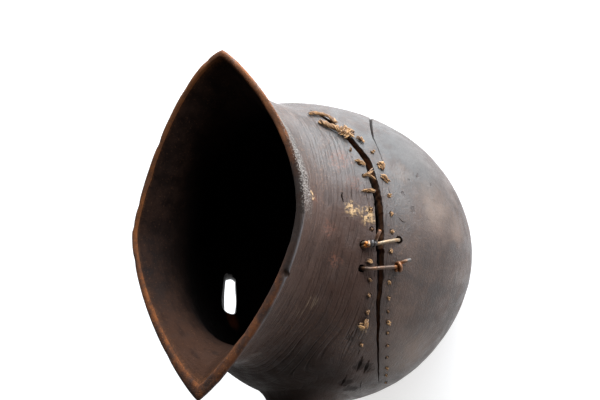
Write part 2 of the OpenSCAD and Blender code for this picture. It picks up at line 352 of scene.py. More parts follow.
def inside_rows():
    lip = lip_at(lon)
    mid = (LIP_THIN + LIP_THICK) / 2
    rows = []
    for t in np.linspace(1, 0, 30)[1:]:
        near = ease((t - 0.6) / 0.4)
        thick = mix(mid, lip, near)
        ring = neck_ring(INNER_R, MOUTH_A - 1.3 * thick, MOUTH_B - thick, lon, t, HANDLE_RIDGE)
        ring[:, 2] -= 0.4 * near
        rows.append(ring)
    for lat in np.linspace(NECK_LAT, -86, 42)[1:]:
        rows.append(belly_ring(INNER_R, INNER_R if lat >= 0 else INNER_DEPTH, lon, lat))
    return rows


def row_normals(p):
    across = np.roll(p, -1, 1) - np.roll(p, 1, 1)
    return units(np.cross(across, np.gradient(p, axis=0)))


# Chips and worn spots of the lip: place round the mouth, half width in degrees, depth, and share
# of the lip's width that it reaches across from the outer edge (or from the inner, if negative).
CHIPS = [
    (66.5, 0.8, 1.4, 0.55), (88, 2.2, 0.3, 0.4), (104, 3.0, 0.35, 0.5), (121, 2.6, 0.3, 0.6),
    (139, 3.5, 0.3, -0.5), (157, 2.0, 0.3, 0.7), (171, 2.0, 0.3, -0.5), (193, 2.0, 0.35, 0.9),
    (208, 3.0, 0.3, 0.6), (229, 1.8, 0.45, 0.9), (241, 3.0, 0.5, -0.9), (252, 2.0, 0.35, 0.7),
    (263, 3.0, 0.4, 0.6), (284, 2.4, 0.3, 0.7), (305, 2.5, 0.3, -0.6), (322, 2.4, 0.25, 0.6),
    (341, 2.5, 0.25, -0.5), (12, 3.0, 0.25, -0.6), (25, 2.4, 0.2, 0.5), (41, 2.6, 0.3, -0.5),
    (53, 2.0, 0.25, 0.5), (77, 1.8, 0.25, -0.4),
]


def carve():
    """The cup's rings, and for each the region it is in: 0 outside, 1 inside, and the lip between."""
    out = outside_rows()
    normals = row_normals(out)
    from_centre = out - CENTRE
    steep = from_centre[..., 2] / np.linalg.norm(from_centre, axis=-1)
    lat_like = np.degrees(np.arcsin(np.clip(steep, -1, 1)))
    layer = grain_height(out)
    streak = np.stack([out[..., 0] * 0.035, out[..., 1] * 0.035, layer * 0.62], -1)
    grooves = wander(streak, 1.0, 7.3, 2)
    grooved = ease((lat_like - 18) / 14) * (0.35 + 0.65 * ease((out[..., 0] + 30) / 40))
    depth = -0.12 + 0.22 * wander(out, 30.0, 3.1) + 0.10 * wander(out, 9.0, 11.7, 3)
    depth += 0.15 * grooves * grooved
    base_fade = ease(out[..., 2] / 3.0)
    edge_fade = 1 - 0.7 * ease((out[..., 2] - RIM_Z + 4) / 4)
    out = out + normals * (np.minimum(depth, 0.05) * base_fade * edge_fade)[..., None]

    lip = np.array(lip_rows(out[-1]))
    inner = np.array(inside_rows())
    hollow = 0.22 * wander(inner, 16.0, 5.2, 3) + 0.3 * wander(inner, 40.0, 1.7)
    hollow *= ease((RIM_Z + 1 - inner[..., 2]) / 8)
    inner = inner + row_normals(inner) * hollow[..., None]

    # The lip is worn uneven, and chipped here and there.
    sweep = np.stack([cos(lon) * 6, sin(lon) * 6, lon * 0], -1)
    worn = 0.09 * wander(sweep, 0.8, 2.2, 2) + 0.2 * wander(sweep, 2.2, 8.8)
    shares = [*LIP_SHARES, 1.0]
    for ring, share in zip(lip, shares):
        ring[:, 2] += (worn - 0.25) * math.sin(math.pi * min(share + 0.1, 0.95))
        ring[:, :2] += (0.1 * wander(ring, 7.0, 4.4, 2))[:, None] * (ring - CENTRE)[:, :2] / 50
    for place, half, deep, reach in CHIPS:
        away = (lon - place + 180) % 360 - 180
        bite = deep * np.exp(-((away / half) ** 2) * 1.2)
        for ring, share in zip(lip, shares):
            at = share if reach > 0 else 1 - share
            ring[:, 2] -= bite * (1 - ease(at / abs(reach)))
        for k in range(3):
            row = out[-1 - k] if reach > 0 else inner[k]
            row[:, 2] -= bite * (1 - k / 3) * 0.9
    base = [out[0] * [1, 1, 0] * s for s in (0.3, 0.6, 0.85)]
    rows = base + list(np.concatenate([out, lip, inner]))
    outer, over = np.zeros(len(base) + len(out)), np.linspace(0.05, 0.95, len(lip))
    return rows, np.concatenate([outer, over, np.ones(len(inner))])


# Along the crack, by direction: how wide it is, and how far it strays from its path
WIDTH_AT = [30, 36, 46, 54, 62, 70, 78, 90, 100, 112, 120, 128, 136, 144, 151, 157]
WIDTHS = [0.15, 0.45, 0.65, 0.9, 1.3, 1.9, 2.4, 2.8, 2.9, 2.8, 2.7, 2.6, 2.3, 1.7, 1.1, 0.1]
STRAY_AT = [30, 45, 52, 56, 60, 64, 68, 74, 80, 88, 97, 106, 114, 122, 130, 140, 152]
STRAYS = [0.0, 0.3, 0.5, 0.1, 0.25, 0.1, -0.3, -0.5, 0.0, 0.5, 0.75, 0.5, 0.6, 0.2, 0.5, 0.3, 0.0]
# Down through the wall: height over the skin, how much wider it is there, and how far it drifts
CRACK_PROFILE = [
    (3.0, 1.5, 0), (0.45, 0.42, 0), (-0.1, 0.14, 0), (-0.7, 0.0, 0.04),
    (-1.6, -0.03, 0.15), (-2.8, -0.06, 0.3), (-4.0, -0.05, 0.45), (-8.0, 0.0, 0.9),
]


def crack_cutter():
    """The split through the wall: ragged, wandering with depth, its edges slightly worn away."""
    at = np.linspace(30, 157, 312)
    path = crack_lat(at)
    jog = 0.16 * np.array([jitter(v * 0.5, 4.3, 0) for v in at]) + np.interp(at, STRAY_AT, STRAYS)
    slopes, widths = np.gradient(path, at), np.interp(at, WIDTH_AT, WIDTHS)
    rings = []
    for a, lat, slope, stray, width in zip(at, path, slopes, jog, widths):
        frayed = [0.14 * jitter(a * 0.7, s, 2.0) + 0.05 * jitter(a * 2.3, s, 5.0) for s in (0.0, 9.0)]
        east, north, _ = skin_axes(a, lat)
        side = unit(north - east * slope * 0.9)
        up, low = [], []
        for height, opened, drift in CRACK_PROFILE:
            base = skin_point(a, lat, height)
            shift = stray + drift * jitter(a * 0.14, 3.0, 7.0)
            half = max(width / 2 * (1 + 0.08 * jitter(a * 0.4, height, 1.0)), 0.05)
            half += opened * min(1.0, width / 1.2)
            up.append(base + side * (shift + half + frayed[0] * min(1, width)))
            low.append(base + side * (shift - half + frayed[1] * min(1, width)))
        rings.append(np.array(up + low[::-1]))
    return rings


def groove_cutter(places, half_widths, depths, count, seed):
    """A shallow split: a ragged wedge along a path on the skin."""
    mid = spline([(a, b, 0) for a, b in places], count)
    t = np.linspace(0, len(places) - 1, count)
    centre = np.array([skin_point(a, b) for a, b, _ in mid])
    rings = []
    halves, deeps = (np.interp(t, range(len(places)), values) for values in (half_widths, depths))
    for k, (half, deep, tangent) in enumerate(zip(halves, deeps, np.gradient(centre, axis=0))):
        out = skin_axes(*mid[k][:2])[2]
        side = unit(np.cross(out, tangent))
        rough = [0.25 * half * jitter(k * 0.5, seed, s) for s in (0, 5)]
        profile = ((1.2, 2.2 * half, 1), (0, 0.9 * half, 1), (-deep, 0.12 * half, 0))
        left = [centre[k] + out * h + side * (w + rough[0] * frayed) for h, w, frayed in profile]
        right = [centre[k] + out * h - side * (w + rough[1] * frayed) for h, w, frayed in profile]
        rings.append(np.array(left + right[::-1]))
    return rings


def hole_cutter(centre, axes, radius, seed, worn):
    """A drilled hole through the wall, a little out of round and worn at its mouth."""
    east, north, out = axes
    turn = around(18)
    rough = np.array([1 + 0.12 * jitter(math.cos(a) * 1.5, math.sin(a) * 1.5, seed) for a in turn])
    rings = []
    for height, grow in ((-9.0, 0.0), (-1.0, 0.0), (-0.25, 0.06), (0.15, worn), (2.0, worn + 1.6)):
        r = (radius + grow) * rough
        ring = np.outer(r * np.cos(turn), east) + np.outer(r * np.sin(turn), north)
        rings.append(centre + out * height + ring)
    return rings


# The slot: direction and height, degrees it cuts down through the wall and leans, half its size
SLOT_AT, SLOT_SLANT, SLOT_LEAN = (-76.5, -3.8), 34.0, 6.5
SLOT_HALF_LEN, SLOT_HALF_HGT = 7.8, 2.4
# Height over the skin, and how much larger the slot is there
SLOT_PROFILE = [(-16.0, 2.4), (-6.4, 0.9), (-4.9, 0.25), (-3.2, 0.0), (-1.2, 0.1), (0.4, 0.8), (9.0, 4.0)]


def slot_cutter():
    """The open split in the far wall, a long rounded hole with soft edges."""
    east, north, out = skin_axes(*SLOT_AT)
    down, tilt, lean = -north, math.radians(SLOT_SLANT), math.radians(SLOT_LEAN)
    axis = out * math.cos(tilt) + down * math.sin(tilt)
    across = down * math.cos(tilt) - out * math.sin(tilt)
    c, s = math.cos(lean), math.sin(lean)
    east, across = east * c - across * s, across * c + east * s
    centre = CENTRE + BOWL_R * out
    rings = []
    for height, grow in SLOT_PROFILE:
        long, wide = SLOT_HALF_LEN + grow, SLOT_HALF_HGT + grow
        ring = []
        for a in around(48):
            c, s = math.cos(a), math.sin(a)
            rough = 0.22 * jitter(c * 2.2, s * 1.1, 3.0 + height * 0.1)
            e = (long - wide) * max(-1, min(1, c * 2.2)) + wide * c + rough
            f = wide * s * (1 + 0.05 * math.sin(3 * e / long)) + rough
            ring.append(centre + axis * height + east * e + across * f)
        rings.append(np.array(ring))
    return rings


HANDLE_REACH, HANDLE_UP, HANDLE_LIFT, HANDLE_FILLET = 118.0, 7.0, 5.0, 5.0
HANDLE_ROOT, HANDLE_END = (26.0, 20.0), (25.0, 13.0)  # width and thickness
# Distances out from the belly of the rings that make the fillet
FILLET_STEPS = [-0.8, -0.25, 0.0, 0.12, 0.35, 0.7, 1.2, 1.9, 2.8, 3.8, 5.0, 6.5]


def handle_ring(turn, grip, extra, shrink, lift=0.0):
    """Across the handle: y and z of a rounded square, grip of the way out from the belly."""
    w = mix(HANDLE_ROOT[0], HANDLE_END[0], grip) / 2 * shrink[0] + extra
    t = mix(HANDLE_ROOT[1], HANDLE_END[1], max(grip, 0.0) ** 0.7) / 2 * shrink[1] + extra
    return w * signed_pow(cos(turn), 0.75), HANDLE_UP + lift + t * signed_pow(sin(turn), 0.75)


def handle_rings():
    """The handle, with a fillet that runs out level with the belly."""
    sides = 56
    turn = 360.0 * np.arange(sides) / sides
    long = HANDLE_REACH - BOWL_R
    rings = []
    for d in FILLET_STEPS:
        fillet, left = 0.0, HANDLE_FILLET - max(d, 0.0)
        if d < HANDLE_FILLET:
            fillet = HANDLE_FILLET - math.sqrt(max(0.0, HANDLE_FILLET**2 - left**2))
        y, z = handle_ring(turn, max(d, 0) / long, fillet, (1, 1))
        rings.append(np.stack([np.sqrt((BOWL_R + 0.1 + d) ** 2 - y**2 - z**2), y, z + BELLY_Z], -1))
    last = rings[-1][:, 0].mean()
    curved = rings[-1][:, 0] - last
    for s in np.concatenate([np.linspace(0.06, 0.82, 34), 1 - 0.18 * (1 - np.linspace(0.05, 1, 16)) ** 2]):
        x0 = mix(last, HANDLE_REACH, s)
        grip = (x0 - BOWL_R) / long
        tail = min(1.0, max(0.0, (x0 - HANDLE_REACH + 9) / 9))
        end = math.sqrt(max(0.015, 1 - tail * tail))
        y, z = handle_ring(turn, grip, 0.0, (mix(1, end, 0.85), mix(1, end, 0.9)), HANDLE_LIFT * grip * grip)
        x = x0 + curved * (1 - ease(s / 0.4))
        rings.append(np.stack([np.minimum(x, HANDLE_REACH), y, z + BELLY_Z], -1))
    rings = np.array(rings)
    away = units(rings - rings.mean(1, keepdims=True))
    hewn = -0.2 + 0.3 * wander(rings, 14.0, 6.1, 3) + 0.08 * wander(rings * [0.2, 1, 1], 2.2, 2.1, 2)
    keep = ease((rings[..., 0] - 58) / 6)
    return list(rings + away * (np.minimum(hewn, 0.0) * keep)[..., None])


def boolean(obj, cutter, operation):
    mod = obj.modifiers.new(operation.lower(), "BOOLEAN")
    mod.operation = operation
    mod.object = cutter
    mod.solver = "MANIFOLD"
    graph = bpy.context.evaluated_depsgraph_get()
    mesh = bpy.data.meshes.new_from_object(obj.evaluated_get(graph))
    obj.modifiers.remove(mod)
    old = obj.data
    obj.data = mesh
    bpy.data.meshes.remove(old)
    bpy.data.objects.remove(cutter)


# Short gashes and gouges in the skin: places by direction and height, half width, depth.
GOUGES = [
    ([(108, 37.6), (106, 38), (103.4, 37.6)], 0.2, 0.12),
    ([(110.8, 33.8), (107, 34.3), (102.4, 34.4)], 0.34, 0.2),
    ([(110.2, 31.3), (107, 31.5), (102.7, 31.2)], 0.34, 0.2),
    ([(113, 29.1), (107, 28.9), (100.0, 28.1)], 0.3, 0.18),
    ([(41.8, 14.2), (38, 12.7), (33.8, 11.0)], 1.35, 0.9),
    ([(40.9, 10.5), (37, 8.9), (34.0, 7.5)], 1.4, 1.0),
    ([(31.0, 13.2), (27, 11.4), (23.2, 9.7)], 1.1, 0.7),
    ([(30.5, 5.1), (27, 2.6), (23.9, -0.3)], 0.5, 0.5),
    ([(34.8, 26.6), (33.8, 26.2), (32.6, 26.1)], 0.4, 0.4),
    ([(38.8, 25.3), (37.8, 25.0), (36.4, 24.8)], 0.35, 0.4),
    ([(47.4, 23.6), (46.1, 23.3), (44.6, 22.6)], 0.4, 0.5),
    ([(50.6, 24.0), (49.3, 23.8), (47.8, 23.9)], 0.35, 0.4),
    ([(28.4, 26.9), (27.5, 26.6), (26.4, 26.6)], 0.3, 0.4),
    ([(110.2, 19.4), (108, 19.3), (106.1, 18.9)], 0.22, 0.3),
    ([(97.6, 17.0), (96.2, 15.7), (95.8, 14.2)], 0.25, 0.3),
    ([(45.0, 17.4), (42.5, 16.6), (40.6, 15.2)], 0.3, 0.4),
]
# The second split, which doesn't go through the wall: places, half widths and depths
SPLIT = [
    (165, -9), (157, -2), (149.5, 5.5), (142, 11.5), (135, 15.5), (131.5, 16.4), (125.5, 17.4), (120, 18.2),
]
SPLIT_HALVES = [0.2, 0.7, 0.78, 0.72, 0.5, 0.24, 0.18, 0.12]
SPLIT_DEPTHS = [0.4, 1.8, 2.3, 2.6, 2.2, 0.9, 0.6, 0.4]


def build_cup(materials):
    rows, region = carve()
    cup = make_object("wooden_cup", *closed_skin(rows))
    boolean(cup, make_object("grip", *closed_skin(handle_rings())), "UNION")

    cuts = [crack_cutter(), groove_cutter(SPLIT, SPLIT_HALVES, SPLIT_DEPTHS, 70, 3.0)]
    for i, (places, half, deep) in enumerate(GOUGES):
        n = len(places)
        shape = [math.sin(math.pi * (0.12 + 0.76 * k / (n - 1))) for k in range(n)]
        cuts.append(groove_cutter(places, [half * v for v in shape], [deep * v for v in shape], 14, 20.0 + i))
    rim_holes = [(a, rim_lat(a), 0.85 if i else 0.5, i) for i, a in enumerate(RIM_ROW)]
    base_holes = [(a, base_lat(a), 0.72, i + 40) for i, a in enumerate(BASE_ROW)]
    for a, lat, radius, seed in rim_holes + base_holes:
        cuts.append(hole_cutter(skin_point(a, lat), skin_axes(a, lat), radius, seed, worn=0.1))
    for at in (WIRE_NOSE, WIRE_HANDLE):
        axes = wire_axes(at)
        for side, radius in ((-1, 1.6), (1, 1.35)):
            place = axes[3] + axes[0] * side * (WIRE_SPAN / 2 + 0.1)
            cuts.append(hole_cutter(place, axes[:3], radius, side + at[0], worn=0.3))
    cuts.append(slot_cutter())
    for group in (cuts[:1], cuts[1:-1], cuts[-1:]):
        boolean(cup, make_object("cuts", *joined(group)[:2]), "DIFFERENCE")
    hollow = mark_cup(cup.data, rows, region)
    sharp_edges(cup.data, 38)
    cup.data.materials.clear()
    for material in materials:
        cup.data.materials.append(material)
    for face in cup.data.polygons:
        face.material_index = int(all(hollow[v] for v in face.vertices))
    return cup


def mark_cup(mesh, rows, region):
    """Write where each point is, how it is worn and where shade is painted, for the materials, and say which
    are in the hollow.
    """
    tree = KDTree(len(rows) * COLUMNS)
    for i, p in enumerate(np.concatenate(rows).tolist()):
        tree.insert(p, i)
    tree.balance()
    co = np.empty(len(mesh.vertices) * 3)
    mesh.vertices.foreach_get("co", co)
    co = co.reshape(-1, 3) / MM
    region_of = np.array([region[tree.find(p)[1] // COLUMNS] for p in co.tolist()])
    region_of = np.where((co[:, 0] > 62) & (np.abs(co[:, 2] - 62) < 22), 0.0, region_of)
    q = co - CENTRE
    r = np.linalg.norm(q, axis=1)
    at_lat = np.degrees(np.arcsin(q[:, 2] / r))
    at_lon = np.degrees(np.arctan2(q[:, 1], q[:, 0]))
    below = BOWL_R + fullness(at_lon, at_lat) - r
    cut = (at_lat < 30.5) & (co[:, 0] < 56) & (below < 4.3)
    region_of = np.where(cut, 0.0, region_of)
    write_values(mesh, "inside", np.clip((region_of - 0.5) * 2.2, 0, 1))
    rim_height = co[:, 2] - RIM_Z - TIP_RISE * np.clip(np.abs(co[:, 0] + 4) / 63, 0, 1) ** 2
    lip = np.where((region_of > 0.02) & (region_of < 0.98), 1.0, 0.0)
    outer_fade = ease((rim_height + 1.2) / 1.2) * 0.5 * (region_of <= 0.02)
    inner_fade = ease((rim_height + 1.8) / 1.8) * 0.8 * (region_of >= 0.98)
    write_values(mesh, "lip", np.maximum(lip, np.maximum(outer_fade, inner_fade)))
    outer_side = (1 - ease((region_of - 0.12) / 0.25)) * (region_of < 0.9)
    write_values(mesh, "edge", ease((rim_height + 7.6) / 3.0) * outer_side)
    write_values(mesh, "corner", ease((rim_height + 0.9) / 0.6) * (1 - ease((region_of - 0.08) / 0.1)))
    near = np.abs(at_lat - crack_lat(at_lon)) + 30 * ((at_lon < 28) | (at_lon > 156))
    wall = ease((below - 0.5) / 0.5) * cut
    write_values(mesh, "raw", wall * (1 - ease((below - 3.0) / 1.4)) * (near < 3.2))
    write_values(mesh, "split", wall * ((near >= 3.2) | (below > 3.0)))
    write_values(mesh, "crack_darkening", np.exp(-((near / 2.2) ** 2)) * (region_of < 0.5))
    return region_of >= 0.93


def write_values(mesh, name, values):
    layer = mesh.attributes.new(name, "FLOAT", "POINT")
    layer.data.foreach_set("value", np.asarray(values, np.float32))


def wire_axes(at):
    """Along the span, across it, outwards, and the middle of a wire stitch."""
    a, lat, turn = at
    east, north, out = skin_axes(a, lat)
    down = -north
    c, s = math.cos(math.radians(turn)), math.sin(math.radians(turn))
    return down * c + east * s, east * c - down * s, out, CENTRE + BOWL_R * out


# ---- Wire


def wire_path(at, parts):
    """A wire stitch's path, through places along the span from its knotted hole, across it and outwards."""
    along, across, out, middle = wire_axes(at)
    start = middle - along * WIRE_SPAN / 2
    return np.array([start + along * p[0] + across * p[1] + out * p[2] for p in spline(parts, 460)])


def loop_under():
    """From the knotted hole, under the wall and back over the crack."""
    far, under = WIRE_SPAN, -WALL - WIRE_R - 0.9
    down = [(-0.2, 0.4, -2.4), (-0.1, 0.3, under + 1.6), (1.2, 0.1, under), (far / 2, 0.1, under - 0.1)]
    up = [(far - 1.3, 0, under), (far - 0.2, 0, under + 1.4), (far - 0.2, 0, -2.6), (far - 0.25, 0, -0.6)]
    over = [(far - 0.55, 0, 0.6), (far - 1.3, 0, 1.35), (far - 2.6, 0.05, 1.75), (far / 2 + 1.2, -0.05, 2.1)]
    return down + up + over


def wire_spot(at, along_by, across_by, out_by):
    along, across, out, middle = wire_axes(at)
    return tuple(middle + along * (along_by - WIRE_SPAN / 2) + across * across_by + out * out_by)


def turns(first, last, from_x, to_x, radius, height):
    """Points of a coil about the span."""
    count = int(abs(last - first) / 30) + 1
    t = np.linspace(0, 1, count)
    a = mix(first, last, t)
    return [(mix(from_x, to_x, u), radius * cos(v), height + radius * sin(v)) for u, v in zip(t, a)]


def twisted_path(at):
    """The two ends are twisted together beside the hole, and one stands up as a stub."""
    one = turns(60, 470, 3.3, 0.4, 0.68, 1.75)
    other = turns(240, 650, 3.5, 0.4, 0.68, 1.75)
    stub = [(5.3, 4.2, 3.1), (4.7, 3.3, 3.2), (4.1, 2.4, 3.1), (3.6, 1.4, 2.7)]
    tail = [(0.2, -0.3, 1.5), (-0.3, -0.6, 0.6), (-0.35, -0.6, -0.8), (-0.3, -0.6, -2.4)]
    return wire_path(at, stub + one + [(0.2, 0.6, 0.9), (-0.1, 0.55, 0.0)] + loop_under() + other + tail)


def coiled_path(at):
    """One end is wound round the span over its hole, and sticks out beyond."""
    stub = [(-3.9, -2.2, 2.3), (-2.9, -2.05, 2.5), (-1.7, -1.8, 2.6)]
    coil = turns(180, 700, -0.5, 1.5, 1.36, 2.0)
    enter = [(1.0, 1.1, 0.9), (0.3, 0.7, 0.1), (0.0, 0.5, -1.0)]
    tail = [(2.6, -0.05, 2.05), (1.2, 0, 2.0), (0.25, -0.1, 1.8)]
    tail += [(-0.25, -0.3, 1.0), (-0.35, -0.45, -0.4), (-0.3, -0.5, -2.4)]
    return wire_path(at, stub + coil + enter + loop_under() + tail)


def build_wire(name, node, path, seed):
    radii = WIRE_R * (1 + 0.05 * wander(path, 1.6, seed))
    radii[:3] *= [0.55, 0.85, 0.97]
    radii[-3:] *= [0.97, 0.85, 0.55]
    points, faces, _ = joined([tube_rings(path, radii, 14)])
    obj = make_object(name, points, faces)
    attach(obj, "root")
    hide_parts(node)
    return obj


# ---- Plant fibre


def strand(path, radius, rng, blunt=False):
    count = len(path)
    t = np.linspace(0, 1, count)
    taper = np.clip(np.minimum(t / 0.06 + 0.35, (1 - t) / (0.05 if blunt else 0.22) + 0.3), 0, 1)
    radii = radius * taper * (0.9 + 0.2 * rng.random())
    return tube_rings(path, radii, 5)


def bundle(name, node, parts, tints):
    """One fibre piece from many fine tubes, each with its own tint."""
    points, faces, counts = joined(parts)
    obj = make_object(name, points, faces)
    values = np.concatenate([np.full(c, t) for c, t in zip(counts, tints)])
    write_values(obj.data, "tint", values)
    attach(obj, "root")
    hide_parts(node)
    obj.data.materials.append(fibre_material)
    return obj


def laid_bundle(name, node, places, count, spread, radius, seed, heights, twist, swells):
    """A twisted bundle of fibre laid along places on the skin."""
    rng = random.Random(seed)
    steps = 26
    spine = spline([skin_point(a, b, h) for (a, b), h in zip(places, heights)], steps)
    axes = [skin_axes(*places[min(len(places) - 1, int(i / steps * len(places)))]) for i in range(steps)]
    parts, tints = [], []
    tangent = units(np.gradient(spine, axis=0))
    t = np.linspace(0, 1, steps)
    swell = np.interp(t, np.linspace(0, 1, len(swells)), swells)
    for k in range(count):
        turn0 = rng.uniform(0, 2 * math.pi)
        dist = spread * math.sqrt(rng.random())
        lo, hi = sorted((rng.uniform(-0.15, 0.5), rng.uniform(0.55, 1.15)))
        lo, hi = max(lo, 0.0), min(hi, 1.0)
        path = []
        for i in [i for i in range(steps) if lo <= t[i] <= hi]:
            out = axes[i][2]
            side = np.cross(out, tangent[i])
            a = turn0 + twist * 2 * math.pi * t[i]
            d = dist * swell[i]
            wob = 0.26 * jitter(t[i] * 5, k * 3.1, seed)
            path.append(spine[i] + side * (d * math.cos(a) + wob) + out * (d * 0.75 * math.sin(a) + wob))
        if len(path) > 3:
            parts.append(strand(np.array(path), radius * rng.uniform(0.7, 1.3), rng))
            tints.append(rng.random())
    return bundle(name, node, parts, tints)


def tuft(name, node, at, lat, seed, size, reach, way, rise, count, splay, dark, back=0.0):
    """The stump of fibre in a stitch hole.

    It may lie over the skin for reach, turned way degrees from down the belly.
    """
    rng = random.Random(seed * 7 + 3)
    east, north, out = skin_axes(at, lat)
    c, s = math.cos(math.radians(way)), math.sin(math.radians(way))
    lie, cross = -north * c + east * s, east * c + north * s
    foot = skin_point(at, lat)
    parts, tints = [], []
    for _ in range(count):
        a, d = rng.uniform(0, 2 * math.pi), 0.72 * size * math.sqrt(rng.random())
        start = foot + lie * d * math.cos(a) * 0.8 + cross * d * math.sin(a) * 0.8
        if splay < 0.45:
            spread = rng.uniform(-splay, splay)
        else:
            spread = rng.choice((-1, 1)) * splay * rng.uniform(0.8, 1.1)
        goes = reach * rng.uniform(0.72, 1.05) * (-1 if rng.random() < back else 1)
        top = rise * rng.uniform(0.5, 1.2)
        own_rise = top + 0.35 * size * math.sin(a)
        path = [start - out * 3.5, start - out * 1.5, start + out * own_rise * 0.4]
        if abs(goes) > 0.5:
            fork = spread * (1 if rng.random() < 0.8 else 1.3)
            path += [
                start + out * (own_rise + 0.25) + (lie + cross * fork * 0.4) * goes * 0.25,
                start + out * (own_rise + 0.15) + (lie + cross * fork * 0.8) * goes * 0.6,
                start + out * max(0.12, own_rise * 0.55) + (lie + cross * fork) * goes,
            ]
        else:
            lean = lie * (rng.uniform(-0.5, 0.5) * size) + cross * spread
            path += [start + out * own_rise + lean * 0.6, start + out * (own_rise + 0.18) + lean * 1.1]
        parts.append(strand(spline(path, 12), 0.2 * size * rng.uniform(0.8, 1.25), rng, True))
        tints.append(min(1, max(0, rng.random() - dark)))
    core = [foot + out * h + rng.uniform(-0.05, 0.05) for h in (-4.0, -2.0, -0.4, min(rise, 0.12))]
    parts.append(tube_rings(core, [0.62 * size, 0.7 * size, 0.68 * size, 0.35 * size], 9))
    tints.append(0.25)
    return bundle(name, node, parts, tints)


def knot(name, node, seed):
    """The matted lump of fibre at the end of the crack."""
    rng = random.Random(seed)
    at, lat = 136.3, 26.8
    east, north, out = skin_axes(at, lat)
    foot = skin_point(at, lat, 1.1)
    parts, tints = [], []

    def clear(p):
        """Keep a strand above the skin and the lump a little flat."""
        high = float(np.dot(p - foot, out))
        return p - out * (high - max(0.62 * high, -0.75))

    for k in range(74):
        u = unit(np.array([rng.gauss(0, 1) for _ in range(3)]))
        v = unit(np.cross(u, [rng.gauss(0, 1) for _ in range(3)]))
        middle = foot + east * rng.gauss(0, 0.85) + north * rng.gauss(0, 0.75) + out * rng.uniform(0, 0.7)
        size, first, sweep = rng.uniform(0.8, 1.75), rng.uniform(0, 6.3), rng.uniform(1.4, 3.6)
        path = []
        for i in range(12):
            a = first + sweep * i / 11
            wob = np.array([0.22 * jitter(i * 0.4, k * 2.7, w) for w in (0, 4, 8)])
            path.append(clear(middle + size * (u * math.cos(a) + v * math.sin(a)) + wob))
        parts.append(strand(np.array(path), rng.uniform(0.17, 0.33), rng))
        tints.append(rng.random())
    for _ in range(26):
        a = rng.uniform(0, 2 * math.pi)
        way = east * math.cos(a) + north * math.sin(a)
        begin = foot + way * rng.uniform(0.8, 1.8) + out * rng.uniform(0, 0.6)
        end = begin + way * rng.uniform(0.8, 2.0) + out * rng.uniform(-0.7, 0.5)
        bend = mix(begin, end, 0.5) + out * rng.uniform(0, 0.4) + np.cross(way, out) * rng.uniform(-0.5, 0.5)
        path = np.array([clear(q) for q in spline([begin, bend, end], 8)])
        parts.append(strand(path, rng.uniform(0.12, 0.22), rng))
        tints.append(rng.random())
    core = []
    turn = around(16)
    for t in np.arange(9) / 8:
        r = math.sin(math.pi * (0.04 + 0.92 * t))
        r *= np.array([1 + 0.2 * jitter(math.cos(a), math.sin(a), t * 3) for a in turn])
        ring = np.outer(2.0 * r * np.cos(turn), east) + np.outer(1.7 * r * np.sin(turn), north)
        core.append(foot + out * (1.5 * t - 0.8) + ring)
    parts.append(core)
    tints.append(0.0)
    return bundle(name, node, parts, tints)


# ---- Materials


